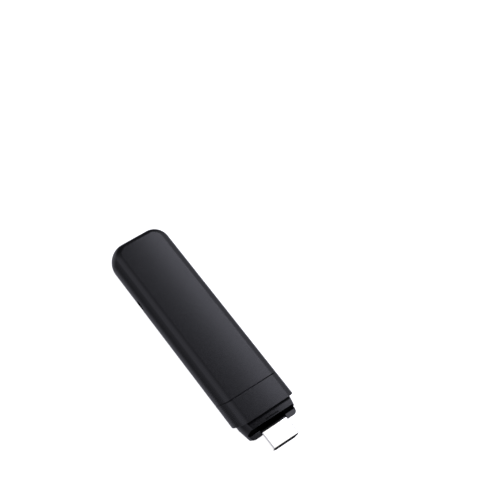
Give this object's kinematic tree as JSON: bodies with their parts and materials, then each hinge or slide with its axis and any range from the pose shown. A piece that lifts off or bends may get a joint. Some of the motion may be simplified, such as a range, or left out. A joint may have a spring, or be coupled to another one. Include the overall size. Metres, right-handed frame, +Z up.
{
  "type": "stick computer",
  "caption": "Slim bowed stick computer in charcoal plastic with a leaning collar, a bare HDMI plug in a hooded neck, a USB socket in the other end and a power jack in one side.",
  "frame": {"origin": "under the middle of the length and width, on the plane of the underside", "axes": "+X along the stick to the tip of the HDMI plug, +Z up out of the top face, the power jack on the -Y side"},
  "size_m": [0.1216, 0.031, 0.017],
  "materials": {
    "case_paint": "fine matte",
    "neck_plastic": "matte",
    "black_plastic": "matte",
    "board": "satin",
    "film": "satin",
    "aluminium": "satin",
    "nickel": "polished",
    "steel": "satin",
    "gold": "polished",
    "thermal_pad": "matte",
    "light_plastic": "matte",
    "ceramic": "matte",
    "clear_plastic": "clear"
  },
  "bodies": {
    "case": {"main_sleeve": "case_paint", "front_collar": "case_paint", "plug_shroud": "neck_plastic", "inner_tray": "black_plastic", "insulating_film": "film", "main_board": "board", "heat_sink": "aluminium", "soc_chip": "black_plastic", "soc_thermal_pad": "thermal_pad", "ram_chips": "black_plastic", "flash_chip": "black_plastic", "power_chip": "black_plastic", "boot_flash_chip": "black_plastic", "wireless_board": "board", "wireless_shield": "steel", "antennas": "ceramic", "crystals": "steel", "inductors": "steel", "capacitors": "ceramic", "heat_sink_screws": "steel", "board_screws": "steel", "hdmi_shell": "nickel", "hdmi_insulator": "black_plastic", "hdmi_contacts": "gold", "usb_shell": "nickel", "usb_tongue": "black_plastic", "usb_contacts": "gold", "dc_jack_body": "black_plastic", "dc_jack_pin": "nickel", "dc_jack_spring": "steel", "recovery_switch_body": "black_plastic", "recovery_switch_cover": "steel", "status_led": "light_plastic", "light_pipe": "clear_plastic"},
    "button": {"recovery_button": "light_plastic"}
  },
  "joints": [
    {"name": "recovery_press", "type": "slide", "parent": "case", "child": "button", "axis": [0, -1, 0], "range_m": [0, 0.00025], "stiffness_N_per_m": 1000}
  ]
}
